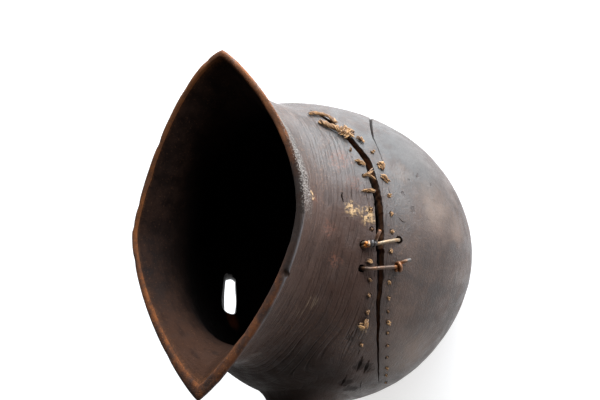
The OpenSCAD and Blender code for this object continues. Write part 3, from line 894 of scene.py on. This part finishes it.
class Shader:
    """Short way to write a node material. Its colour is laid on in layers, by paint."""

    def __init__(self, name):
        self.material = bpy.data.materials.new(name)
        self.material.use_nodes = True
        self.tree = self.material.node_tree
        self.tree.nodes.clear()
        self.surface = self.tree.nodes.new("ShaderNodeBsdfPrincipled")
        output = self.tree.nodes.new("ShaderNodeOutputMaterial")
        self.tree.links.new(self.surface.outputs[0], output.inputs[0])

    def put(self, socket, value):
        if isinstance(value, bpy.types.NodeSocket):
            self.tree.links.new(value, socket)
        else:
            socket.default_value = value

    def node(self, kind, out=0, props=None, **inputs):
        n = self.tree.nodes.new("ShaderNode" + kind)
        for key, value in (props or {}).items():
            setattr(n, key, value)
        for key, value in inputs.items():
            self.put(n.inputs[int(key[1:])] if key[0] == "i" and key[1:].isdigit() else n.inputs[key], value)
        return n.outputs[out]

    def math(self, operation, a, b=0.0, clamp=False):
        return self.node("Math", 0, {"operation": operation, "use_clamp": clamp}, i0=a, i1=b)

    def add(self, a, b, clamp=False):
        return self.math("ADD", a, b, clamp)

    def sub(self, a, b, clamp=False):
        return self.math("SUBTRACT", a, b, clamp)

    def max(self, a, b):
        return self.math("MAXIMUM", a, b)

    def mul(self, value, *others):
        for other in others:
            value = self.math("MULTIPLY", value, other)
        return value

    def total(self, value, *terms):
        """The value plus every term, each of them given as its factors."""
        for term in terms:
            value = self.add(value, self.mul(*term))
        return value

    def vector(self, operation, a, b, out=0):
        return self.node("VectorMath", out, {"operation": operation}, i0=a, i1=b)

    def scaled(self, a, factors):
        return self.vector("MULTIPLY", a, factors)

    def noise(self, vector, scale, detail=2.0, rough=0.5, out=0):
        return self.node("TexNoise", out, None, Vector=vector, Scale=scale, Detail=detail, Roughness=rough)

    def ramp(self, value, low, high, to_low=0.0, to_high=1.0):
        return self.node(
            "MapRange", 0, {"interpolation_type": "SMOOTHSTEP", "clamp": True},
            i0=value, i1=low, i2=high, i3=to_low, i4=to_high,
        )

    def near(self, vector, centre, inner, outer, full=1.0):
        """Full within the inner distance from the centre, and nothing beyond the outer."""
        return self.ramp(self.vector("DISTANCE", vector, centre, out=1), inner, outer, full, 0.0)

    def mix(self, factor, a, b):
        n = self.tree.nodes.new("ShaderNodeMix")
        n.data_type = "RGBA"
        self.put(n.inputs[0], factor)
        self.put(n.inputs[6], a)
        self.put(n.inputs[7], b)
        return n.outputs[2]

    def paint(self, share, colour):
        self.colour = self.mix(share, self.colour, colour)

    def axes(self, vector):
        n = self.tree.nodes.new("ShaderNodeSeparateXYZ")
        self.put(n.inputs[0], vector)
        return tuple(n.outputs)

    def attribute(self, name):
        return self.node("Attribute", 2, {"attribute_name": name})

    def place_mm(self):
        return self.scaled(self.node("TexCoord", 3), (1000, 1000, 1000))

    def bump(self, height, distance, strength):
        return self.node("Bump", 0, None, Height=height, Distance=distance * MM, Strength=strength)

    def done(self, **values):
        """Set the surface's inputs, and give the material."""
        for name, value in values.items():
            self.put(self.surface.inputs[name.replace("_", " ")], value)
        return self.material


def rgb(r, g, b):
    """A colour from its everyday 0 to 255 values."""
    shares = [v / 255 for v in (r, g, b)]
    return (*[v / 12.92 if v <= 0.04045 else ((v + 0.055) / 1.055) ** 2.4 for v in shares], 1.0)


# Reddish worn patches, pale crusts, dark bruises and other marks, with pale patches that are partly painted
# sheen: place, size and maybe strength.
RED_PATCHES = [
    ((-26.5, 39.5, 84), 6, 0.6), ((0, 42.7, 91.5), 4, 0.55), ((10, 42.7, 88), 4, 0.6),
    ((-18, 43.5, 81), 5, 0.4), ((-10, 42, 99), 3.5, 0.5),
]
CRUSTS = [
    ((-8.3, 45.8, 83.5), 3.4), ((-6.3, 48.8, 78.6), 3.8), ((-2.8, 47.5, 76.5), 2.2),
    ((31.8, 42.2, 71.4), 2.4), ((-10.5, 42.5, 100), 1.8),
]
BRUISES = [
    ((44, 33, 63), 3.6), ((45, 34, 59), 3.2), ((50, 25, 61), 3.2),
    ((52, 23, 56), 3.4), ((36, 37.5, 73.5), 1.8),
]
SCUFFS = [((25, 35, 90), 3.5, 0.50), ((22, 33, 99), 3.0, 0.35), ((28, 31, 92), 3.0, 0.35)]
PALE_PATCHES_AND_SHEEN = [((-14, 55, 50), 12, 0.42), ((-7, 55, 38), 9, 0.3), ((39, 41, 45), 17, 0.55), ((-24, 49, 62), 6, 0.3)]
PITS = [
    ((-24.2, 51.3, 55.6), 1.0), ((-22.2, 51.6, 60.3), 0.8), ((-22, 52.7, 49.5), 1.1),
    ((-19.4, 53.5, 45.5), 0.9), ((-16.3, 52.7, 64.7), 1.0), ((-10.6, 54.8, 61.9), 1.2),
]


def hollow_wood():
    s = Shader("hollow_wood")
    p = s.place_mm()
    x, y, z = s.axes(p)
    cloud = s.noise(p, 0.17, 4.0, 0.62)
    speck = s.noise(p, 1.3, 3.0, 0.7)
    tool = s.noise(s.scaled(p, (0.25, 0.25, 1.2)), 0.5, 3.0, 0.6)
    s.colour = s.mix(s.ramp(cloud, 0.35, 0.7), rgb(23, 14, 11), rgb(42, 28, 22))
    # Painted light: lighter brown on the handle-side wall near the rim, where light falls in.
    s.paint(s.mul(s.ramp(x, 10, 46), s.ramp(z, 84, 104, 0.3, 1.0)), rgb(56, 36, 26))
    s.paint(s.ramp(tool, 0.5, 0.7, 0.0, 0.5), rgb(26, 16, 12))
    s.paint(s.ramp(speck, 0.58, 0.72, 0.0, 0.42), rgb(92, 62, 42))
    # Painted shade: near black deeper down in the hollow.
    s.paint(s.ramp(z, 78, 103, 1.0, 0.0), rgb(10, 6, 5))
    # Painted light: a reddish glow on the wall just below the slot, from light coming through it.
    s.paint(s.near(s.scaled(p, (0.5, 1, 1)), (11.0, -45.7, 53.2), 1.2, 4.2), rgb(104, 52, 28))
    edge = s.mul(s.ramp(cloud, 0.3, 0.6, 0.3, 0.9), s.ramp(y, -16, 4, 0.35, 1.0), s.attribute("lip"))
    s.paint(edge, s.mix(s.ramp(speck, 0.4, 0.6), rgb(66, 40, 24), rgb(104, 66, 40)))
    height = s.add(s.mul(tool, 1.2), s.add(cloud, s.mul(speck, 0.35)))
    rough = s.ramp(cloud, 0.3, 0.7, 0.7, 0.9)
    bump = s.bump(height, 0.4, 0.8)
    return s.done(Base_Color=s.colour, Roughness=rough, Specular_IOR_Level=0.07, Normal=bump)


def wood():
    s = Shader("dark_wood")
    p = s.place_mm()
    x, y, z = s.axes(p)
    drift = s.mul(s.sub(s.noise(p, 0.03, 1.0), 0.5), 4.0)
    ahead = s.max(x, 0.0)
    far = s.max(s.sub(x, 36.0), 0.0)
    low = s.ramp(z, 70, 80, 0.0025, 0.0)
    layer = s.add(s.mul(s.math("MINIMUM", x, 5.0), -0.14), drift)
    layer = s.add(s.total(layer, (ahead, ahead, low), (far, far, 0.018)), z)
    flow = s.node("CombineXYZ", i0=s.mul(x, 0.03), i1=s.mul(y, 0.03), i2=layer)
    fine = s.noise(flow, 2.1, 3.0, 0.65)
    middle = s.noise(flow, 0.8, 2.0, 0.55)
    broad = s.noise(flow, 0.22, 2.0, 0.5)
    blotch = s.noise(p, 0.055, 3.0, 0.6)
    lines = s.ramp(s.math("ABSOLUTE", s.sub(s.noise(flow, 0.62, 2.0, 0.6), 0.5)), 0.0, 0.028, 0.8, 0.0)
    along = s.max(s.ramp(x, -34, 10), s.ramp(blotch, 0.5, 0.6, 0.0, 0.6))
    necked = s.mul(s.ramp(z, 68, 76, 0.12, 1.0), s.add(s.mul(along, 0.75), 0.25))
    lines = s.mul(lines, s.ramp(s.noise(p, 0.12, 2.0), 0.4, 0.55))
    wave = s.add(s.mul(layer, 4.1), s.mul(s.noise(flow, 0.3, 1.0, 0.5), 9.0))
    wave = s.mul(s.ramp(s.math("SINE", wave), 0.45, 0.98), s.ramp(s.noise(flow, 0.9, 2.0, 0.6), 0.42, 0.56))
    lines = s.max(lines, s.mul(wave, s.ramp(s.noise(p, 0.09, 2.0, 0.5), 0.38, 0.6, 0.25, 0.9)))
    grooves = s.add(s.mul(lines, -1.6), s.mul(fine, 0.5))
    speck = s.noise(p, 1.6, 3.0, 0.7)
    cloud = s.noise(p, 0.17, 4.0, 0.62)

    inside, lip, raw, crack_darkening = (s.attribute(name) for name in ("inside", "lip", "raw", "crack_darkening"))

    # Skin: smoke-dark brown, greyer where it is worn, in streaks along the growth layers; some grey patches
    # are painted sheen.
    s.colour = s.mix(s.ramp(blotch, 0.32, 0.68), rgb(38, 24, 17), rgb(60, 44, 36))
    s.paint(s.mul(s.ramp(middle, 0.5, 0.72, 0.0, 0.5), s.ramp(z, 62, 78, 0.25, 1.0)), rgb(34, 23, 18))
    s.paint(s.mul(s.ramp(fine, 0.58, 0.74, 0.0, 0.5), s.ramp(z, 62, 78, 0.3, 1.0)), rgb(96, 72, 54))
    s.paint(s.mul(necked, 0.85, lines), rgb(20, 13, 10))
    s.paint(s.ramp(broad, 0.5, 0.75, 0.0, 0.35), rgb(64, 42, 31))
    s.paint(s.ramp(cloud, 0.58, 0.8, 0.0, 0.35), rgb(92, 70, 58))
    grain = s.noise(p, 1.1, 4.0, 0.75)
    high = s.ramp(z, 62, 76, 0.35, 1.0)
    s.paint(s.mul(s.ramp(grain, 0.5, 0.66, 0.0, 0.65), high), rgb(22, 13, 9))
    s.paint(s.mul(s.ramp(grain, 0.36, 0.46, 0.6, 0.0), high), rgb(108, 78, 56))
    mottle = s.noise(s.vector("ADD", p, (31, 7, 3)), 0.085, 4.0, 0.62)
    s.paint(s.ramp(mottle, 0.5, 0.66, 0.0, 0.5), s.mix(s.ramp(z, 60, 74), rgb(80, 62, 52), rgb(62, 44, 34)))
    s.paint(s.ramp(mottle, 0.34, 0.46, 0.5, 0.0), rgb(30, 22, 20))
    # Painted shade: darker brown on the neck near the wires, where the sheen falls away.
    painted_shade_by_wires = s.near(s.scaled(p, (0.62, 1, 1)), (8.0, 43.2, 84.0), 4.0, 22.0, 0.85)
    s.paint(s.mul(painted_shade_by_wires, s.ramp(cloud, 0.25, 0.6, 0.6, 1.0)), rgb(30, 18, 12))
    # Painted sheen: cool grey over the upper belly on the nose side.
    painted_cool_sheen = s.mul(s.near(p, (-38.0, 42.0, 66.0), 12.0, 46.0), s.ramp(mottle, 0.38, 0.6, 0.15, 0.65))
    s.paint(painted_cool_sheen, rgb(66, 68, 68))
    warm = s.mul(s.ramp(x, -34, -6), s.ramp(z, 66, 80))
    foot = s.mul(s.ramp(y, 46, 30), s.ramp(z, 46, 62), s.ramp(x, 22, 40))
    warm = s.max(warm, foot)
    s.paint(s.mul(warm, s.ramp(mottle, 0.3, 0.6, 0.4, 0.65)), rgb(54, 27, 11))
    warped = s.vector("ADD", p, s.scaled(s.noise(p, 0.4, 3.0, 0.6, out=1), (5, 5, 5)))
    warped = s.vector("SUBTRACT", warped, (2.5, 2.5, 2.5))

    def spots(places, inner=0.35):
        total = None
        for centre, size, *strength in places:
            near = s.mul(s.near(warped, centre, size * inner, size), *strength)
            total = near if total is None else s.max(total, near)
        return total

    s.paint(s.mul(spots(RED_PATCHES), s.ramp(s.noise(p, 0.9, 4.0, 0.75), 0.46, 0.6)), rgb(98, 56, 38))
    crust = s.mul(spots(CRUSTS), s.ramp(s.noise(p, 0.9, 3.0, 0.7), 0.42, 0.58))
    s.paint(s.mul(crust, 0.95), rgb(164, 134, 98))
    under_lip = s.mul(s.attribute("edge"), s.ramp(x, 2.0, -14.0))
    under_lip = s.mul(s.ramp(y, 6, 14), s.ramp(x, -58, -42), under_lip)
    grit_and_glint = s.noise(p, 1.9, 0.0, 0.5)
    dent = spots(BRUISES)
    s.paint(s.mul(dent, s.ramp(cloud, 0.3, 0.5, 0.35, 0.75)), rgb(24, 13, 8))
    shade = s.mul(s.ramp(x, 24, 44), s.ramp(z, 94, 80), s.mul(s.ramp(z, 54, 68), s.ramp(y, 38, 24)))
    s.paint(s.mul(shade, 0.75), rgb(24, 13, 8))
    scuff = s.mul(spots(SCUFFS), s.ramp(s.noise(flow, 2.4, 3.0, 0.7), 0.5, 0.62))
    s.paint(scuff, rgb(118, 98, 78))
    # Pale patches on the belly: partly real pale blotches, partly painted sheen.
    pale = s.mul(spots(PALE_PATCHES_AND_SHEEN, 0.1), s.ramp(cloud, 0.3, 0.6, 0.4, 1.0))
    s.paint(pale, rgb(118, 100, 88))
    pit = spots(PITS, 0.5)
    s.paint(s.mul(pit, 0.7), rgb(40, 26, 20))
    # Darker along the crack.
    s.paint(s.mul(crack_darkening, 0.35), rgb(34, 24, 20))
    # Painted shade: the walls of holes and gouges, and the crack deep down, go near black.
    s.paint(s.mul(s.attribute("split"), 0.85), rgb(24, 15, 12))
    # Split wood in the crack and the holes.
    s.paint(raw, s.mix(s.ramp(fine, 0.35, 0.65), rgb(60, 36, 21), rgb(104, 66, 38)))
    # The hollow is dark brown, with painted shade that goes near black deeper down.
    deep = s.ramp(z, 78, 104, 1.0, 0.0)
    hollow = s.mix(s.ramp(cloud, 0.35, 0.7), rgb(30, 20, 16), rgb(52, 38, 31))
    hollow = s.mix(deep, hollow, rgb(11, 7, 5))
    s.paint(inside, hollow)
    # The lip is worn down to brown wood, with tan flecks.
    lip_colour = s.mix(s.ramp(cloud, 0.35, 0.65), rgb(50, 25, 9), rgb(98, 52, 17))
    lip_colour = s.mix(s.ramp(speck, 0.58, 0.7, 0.0, 0.8), lip_colour, rgb(152, 94, 44))
    lip_colour = s.mix(s.ramp(s.noise(p, 0.8, 2.0), 0.6, 0.75, 0.0, 0.7), lip_colour, rgb(30, 19, 13))
    near_side = s.mul(s.ramp(y, 34, 40), s.ramp(x, -26, -15))
    lip_colour = s.mix(s.mul(near_side, 0.85), lip_colour, rgb(22, 10, 4))
    s.paint(s.mul(lip, s.ramp(cloud, 0.2, 0.5, 0.65, 1.0)), lip_colour)
    # Painted glints: light grey speckles on the rough band under the lip, with dark speckles between them.
    s.paint(s.mul(under_lip, s.ramp(grit_and_glint, 0.5, 0.62)), rgb(122, 116, 110))
    s.paint(s.mul(under_lip, s.ramp(grit_and_glint, 0.4, 0.5, 0.85, 0.0)), rgb(30, 22, 18))
    # Painted highlight: a thin light grey line along the lip's outer corner, where the rounded edge catches
    # the light.
    corner = s.mul(s.attribute("corner"), s.ramp(x, -8.0, 6.0))
    s.paint(s.mul(corner, 0.55), rgb(104, 102, 104))
    # Orange-brown along the lip's outer corner on the far side and at the nose: partly wood rubbed bare,
    # partly a painted glint on the edge.
    rubbed_and_glint = s.max(s.attribute("corner"), s.mul(lip, 0.55))
    worn = s.mul(s.ramp(y, 2.0, -8.0), s.ramp(x, -20.0, 34.0, 1.0, 0.15))
    worn = s.max(worn, s.mul(s.ramp(y, 0.0, 8.0), s.ramp(x, -24.0, -34.0)))
    rubbed_and_glint = s.mul(rubbed_and_glint, s.mul(worn, s.ramp(cloud, 0.35, 0.6, 0.5, 0.9)))
    s.paint(rubbed_and_glint, rgb(128, 74, 32))

    rough = s.total(
        s.ramp(cloud, 0.3, 0.7, 0.36, 0.56), (corner, -0.14), (under_lip, 0.15), (crust, 0.3), (lip, 0.28),
        (painted_shade_by_wires, 0.25), (dent, 0.25), (warm, 0.14), (shade, 0.3),
    )
    rough = s.add(rough, s.mul(inside, 0.3), clamp=True)
    skin = s.sub(s.sub(1.0, inside), s.mul(lip, 0.85), clamp=True)
    height = s.total(
        s.mul(skin, necked, grooves), (cloud, 0.9), (speck, 0.4), (grain, -0.9), (crust, 1.2),
        (under_lip, grit_and_glint, 2.2), (pit, -1.5), (dent, -1.2),
    )
    bump = s.bump(height, 0.32, 0.75)
    return s.done(Base_Color=s.colour, Roughness=rough, Specular_IOR_Level=0.42, Normal=bump)


def wire_metal(name, pale, warm, at, stains):
    s = Shader(name)
    p = s.place_mm()
    tone = s.noise(p, 0.45, 2.0)
    spots = s.noise(p, 2.2, 3.0, 0.7)
    s.colour = s.mix(s.ramp(tone, 0.42, 0.66), pale, warm)
    for place, inner, outer, stain in stains:
        s.paint(s.near(p, wire_spot(at, *place), inner, outer), stain)
    s.paint(s.ramp(spots, 0.5, 0.68, 0.0, 0.75), rgb(46, 33, 26))
    rough = s.ramp(spots, 0.3, 0.7, 0.32, 0.6)
    height = s.add(spots, s.noise(p, 6.0, 2.0))
    return s.done(Base_Color=s.colour, Metallic=0.55, Roughness=rough, Normal=s.bump(height, 0.06, 0.6))


def fibre():
    s = Shader("plant_fibre")
    p = s.place_mm()
    fine = s.noise(p, 3.0, 3.0, 0.7)
    s.colour = s.mix(s.attribute("tint"), rgb(80, 50, 26), rgb(172, 130, 82))
    s.paint(s.ramp(fine, 0.45, 0.75, 0.0, 0.6), rgb(72, 46, 26))
    bump = s.bump(fine, 0.08, 0.7)
    return s.done(Base_Color=s.colour, Roughness=0.78, Specular_IOR_Level=0.3, Sheen_Weight=0.25, Normal=bump)


wood_material = wood()
hollow_material = hollow_wood()
# place along, across and out, full within, gone beyond, colour
pale_wire = wire_metal("pale_wire", rgb(124, 108, 88), rgb(122, 92, 62), WIRE_NOSE, [
    ((2.3, 0.0, 1.75), 1.6, 2.3, rgb(58, 54, 53)), ((0.3, -0.1, 1.6), 0.8, 1.5, rgb(190, 112, 40)),
    ((4.6, 3.2, 3.1), 2.1, 2.9, rgb(84, 56, 38)), ((5.4, 4.3, 3.1), 0.4, 1.0, rgb(168, 104, 56)),
])
brown_wire = wire_metal("brown_wire", rgb(74, 58, 48), rgb(92, 64, 44), WIRE_HANDLE, [
    ((0.5, 0.0, 2.0), 1.6, 2.4, rgb(126, 76, 36)), ((-3.4, -2.2, 2.4), 0.9, 1.7, rgb(78, 74, 70)),
])
fibre_material = fibre()

# ---- The object

cup = build_cup((wood_material, hollow_material))
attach(cup, "root")
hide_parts("carved_cup")

for piece, metal in (
    (build_wire("wire_nose_side", "wire_stitch_nose_side", twisted_path(WIRE_NOSE), 1.0), pale_wire),
    (build_wire("wire_handle_side", "wire_stitch_handle_side", coiled_path(WIRE_HANDLE), 4.0), brown_wire),
):
    piece.data.materials.append(metal)

# The strands: node, places, count, spread, radius, seed, heights, twist, swells
STRANDS = {
    "strand_long": (
        "fibre_strand_long",
        [(152.1, 33.5), (152.1, 31.3), (150.8, 29.5), (148.9, 28.1), (146.1, 27.6), (142.6, 27.6)],
        46, 0.8, 0.17, 21, [0.6, 0.7, 0.6, 0.8, 0.9, 1.1], 1.7, [0.8, 1.15, 0.8, 0.6, 0.8, 0.9],
    ),
    "strand_short": (
        "fibre_strand_short",
        [(146.1, 33.1), (143.9, 32.0), (141.6, 30.8), (139.4, 29.4), (137.1, 28.5)],
        50, 0.9, 0.18, 22, [0.7, 0.9, 1.0, 1.1, 1.2], 1.4, [0.7, 1.1, 0.9, 1.1, 1.0],
    ),
    "strand_under": (
        "fibre_strand_under", [(134.1, 23.7), (132.5, 22.8), (130.7, 21.9)],
        20, 0.75, 0.2, 23, [0.5, 0.7, 0.4], 0.5, [0.8, 1.1, 0.6],
    ),
}
knot("knot_of_fibre", "fibre_knot", 11)
for name, spec in STRANDS.items():
    laid_bundle(name, *spec)

# size, reach over the skin, direction, rise, count, splay, darkness, share lying the other way
RIM_TUFTS = [
    (0.8, 0.0, 0, 0.5, 12, 0.2, 0.1), (0.9, 2.1, -38, 0.6, 22, 0.12, 0.0, 0.5),
    (0.75, 4.0, 0, 0.7, 20, 0.5, 0.0), (0.8, 2.5, -5, 0.5, 20, 0.2, 0.1, 0.15),
    (1.0, 0.0, 0, 0.5, 18, 0.5, 0.2), (0.8, 0.0, 0, 0.1, 12, 0.3, 0.4),
    (1.0, 1.4, 170, 0.6, 16, 0.3, 0.0), (0.8, 0.8, -60, 0.4, 14, 0.3, 0.2),
    (0.8, 0.9, 160, 0.4, 14, 0.3, 0.2), (0.9, 1.2, 120, 0.5, 14, 0.4, 0.1),
    (1.2, 2.2, 150, 0.7, 26, 0.7, 0.05), (0.9, 0.6, 90, 0.5, 16, 0.4, 0.05),
]
BASE_TUFTS = [
    (0.7, 0.6, -60, 0.35, 12, 0.2, 0.0), (1.5, 1.3, -75, 0.6, 32, 0.3, 0.0, 0.45),
    (1.15, 1.9, -45, 0.5, 26, 0.2, 0.0, 0.6), (0.95, 0.0, 0, 0.45, 18, 0.3, 0.0),
    (0.8, 1.0, -85, 0.4, 14, 0.15, 0.0), (0.8, 1.0, -88, 0.4, 14, 0.15, 0.0),
    (0.9, 0.8, 90, 0.45, 16, 0.4, 0.0), (0.8, 1.0, -90, 0.35, 14, 0.2, 0.15),
    (0.7, 0.6, -90, 0.3, 12, 0.2, 0.1), (0.6, 0.0, 0, 0.2, 10, 0.2, 0.3),
    (1.0, 0.5, -90, 0.5, 18, 0.4, -0.2), (0.7, 0.4, 90, 0.2, 10, 0.3, 0.4),
    (0.7, 0.0, 0, 0.2, 10, 0.2, 0.4), (0.6, 0.0, 0, 0.2, 10, 0.2, 0.4),
    (0.7, 0.5, -80, 0.3, 12, 0.2, 0.1), (0.6, 0.4, -80, 0.25, 10, 0.2, 0.2),
    (0.6, 0.4, -80, 0.25, 10, 0.2, 0.2),
]
for side, row, lat_of, seed, specs in (
    ("rim", RIM_ROW, rim_lat, 1, RIM_TUFTS),
    ("base", BASE_ROW, base_lat, 60, BASE_TUFTS),
):
    for i, (at, spec) in enumerate(zip(row, specs)):
        tuft(f"stitch_{side}_{i + 1}", f"stitch_plug_{side}_side_{i + 1}", at, lat_of(at), seed + i, *spec)

# ---- Floor, light and camera


FLOOR_HALF = 3000  # millimetres
corners = [(x * FLOOR_HALF, y * FLOOR_HALF, 0) for x, y in ((-1, -1), (1, -1), (1, 1), (-1, 1))]
floor = make_object("floor", corners, [(0, 1, 2, 3)], False)
floor.data.materials.append(
    Shader("pale_floor").done(
        Base_Color=(0.62, 0.62, 0.63, 1), Roughness=0.9,
        Emission_Color=(1.0, 0.99, 0.98, 1), Emission_Strength=0.68,
    )
)


def area_light(name, place, target, size, power, colour):
    data = bpy.data.lights.new(name, "AREA")
    data.shape = "RECTANGLE"
    data.size, data.size_y = size
    data.energy = power
    data.color = colour
    obj = bpy.data.objects.new(name, data)
    obj.location = place
    obj.rotation_euler = (Vector(target) - Vector(place)).to_track_quat("-Z", "Y").to_euler()
    bpy.context.scene.collection.objects.link(obj)


# A low, wide window on the mouth's side, and a faint warm light from all round
area_light("window", (-0.42, 0.2, 0.17), (0, 0.05, 0.04), (1.1, 0.32), 17, (0.9, 0.965, 1.02))

world = bpy.data.worlds.new("world")
bpy.context.scene.world = world
world.use_nodes = True
background = world.node_tree.nodes["Background"]
background.inputs[0].default_value = (1.0, 0.97, 0.94, 1)
background.inputs[1].default_value = 0.12

# The photo's own view: where the camera is, in millimetres, and where its right and back point
CAMERA_AT = (83.48, 372.06, 434.35)
CAMERA_RIGHT, CAMERA_BACK = (-0.0449, 0.7114, -0.7014), (0.1929, 0.6950, 0.6926)
camera_data = bpy.data.cameras.new("camera")
camera_data.lens = 84
camera_data.sensor_width = 36
camera_data.clip_start = 0.01
camera = bpy.data.objects.new("camera", camera_data)
bpy.context.scene.collection.objects.link(camera)
right, back = Vector(CAMERA_RIGHT).normalized(), Vector(CAMERA_BACK)
back = (back - right * back.dot(right)).normalized()
turn = Matrix((right, back.cross(right), back)).transposed().to_4x4()
camera.matrix_world = Matrix.Translation(Vector(CAMERA_AT) * MM) @ turn
bpy.context.scene.camera = camera
bpy.context.scene.view_settings.view_transform = "Standard"
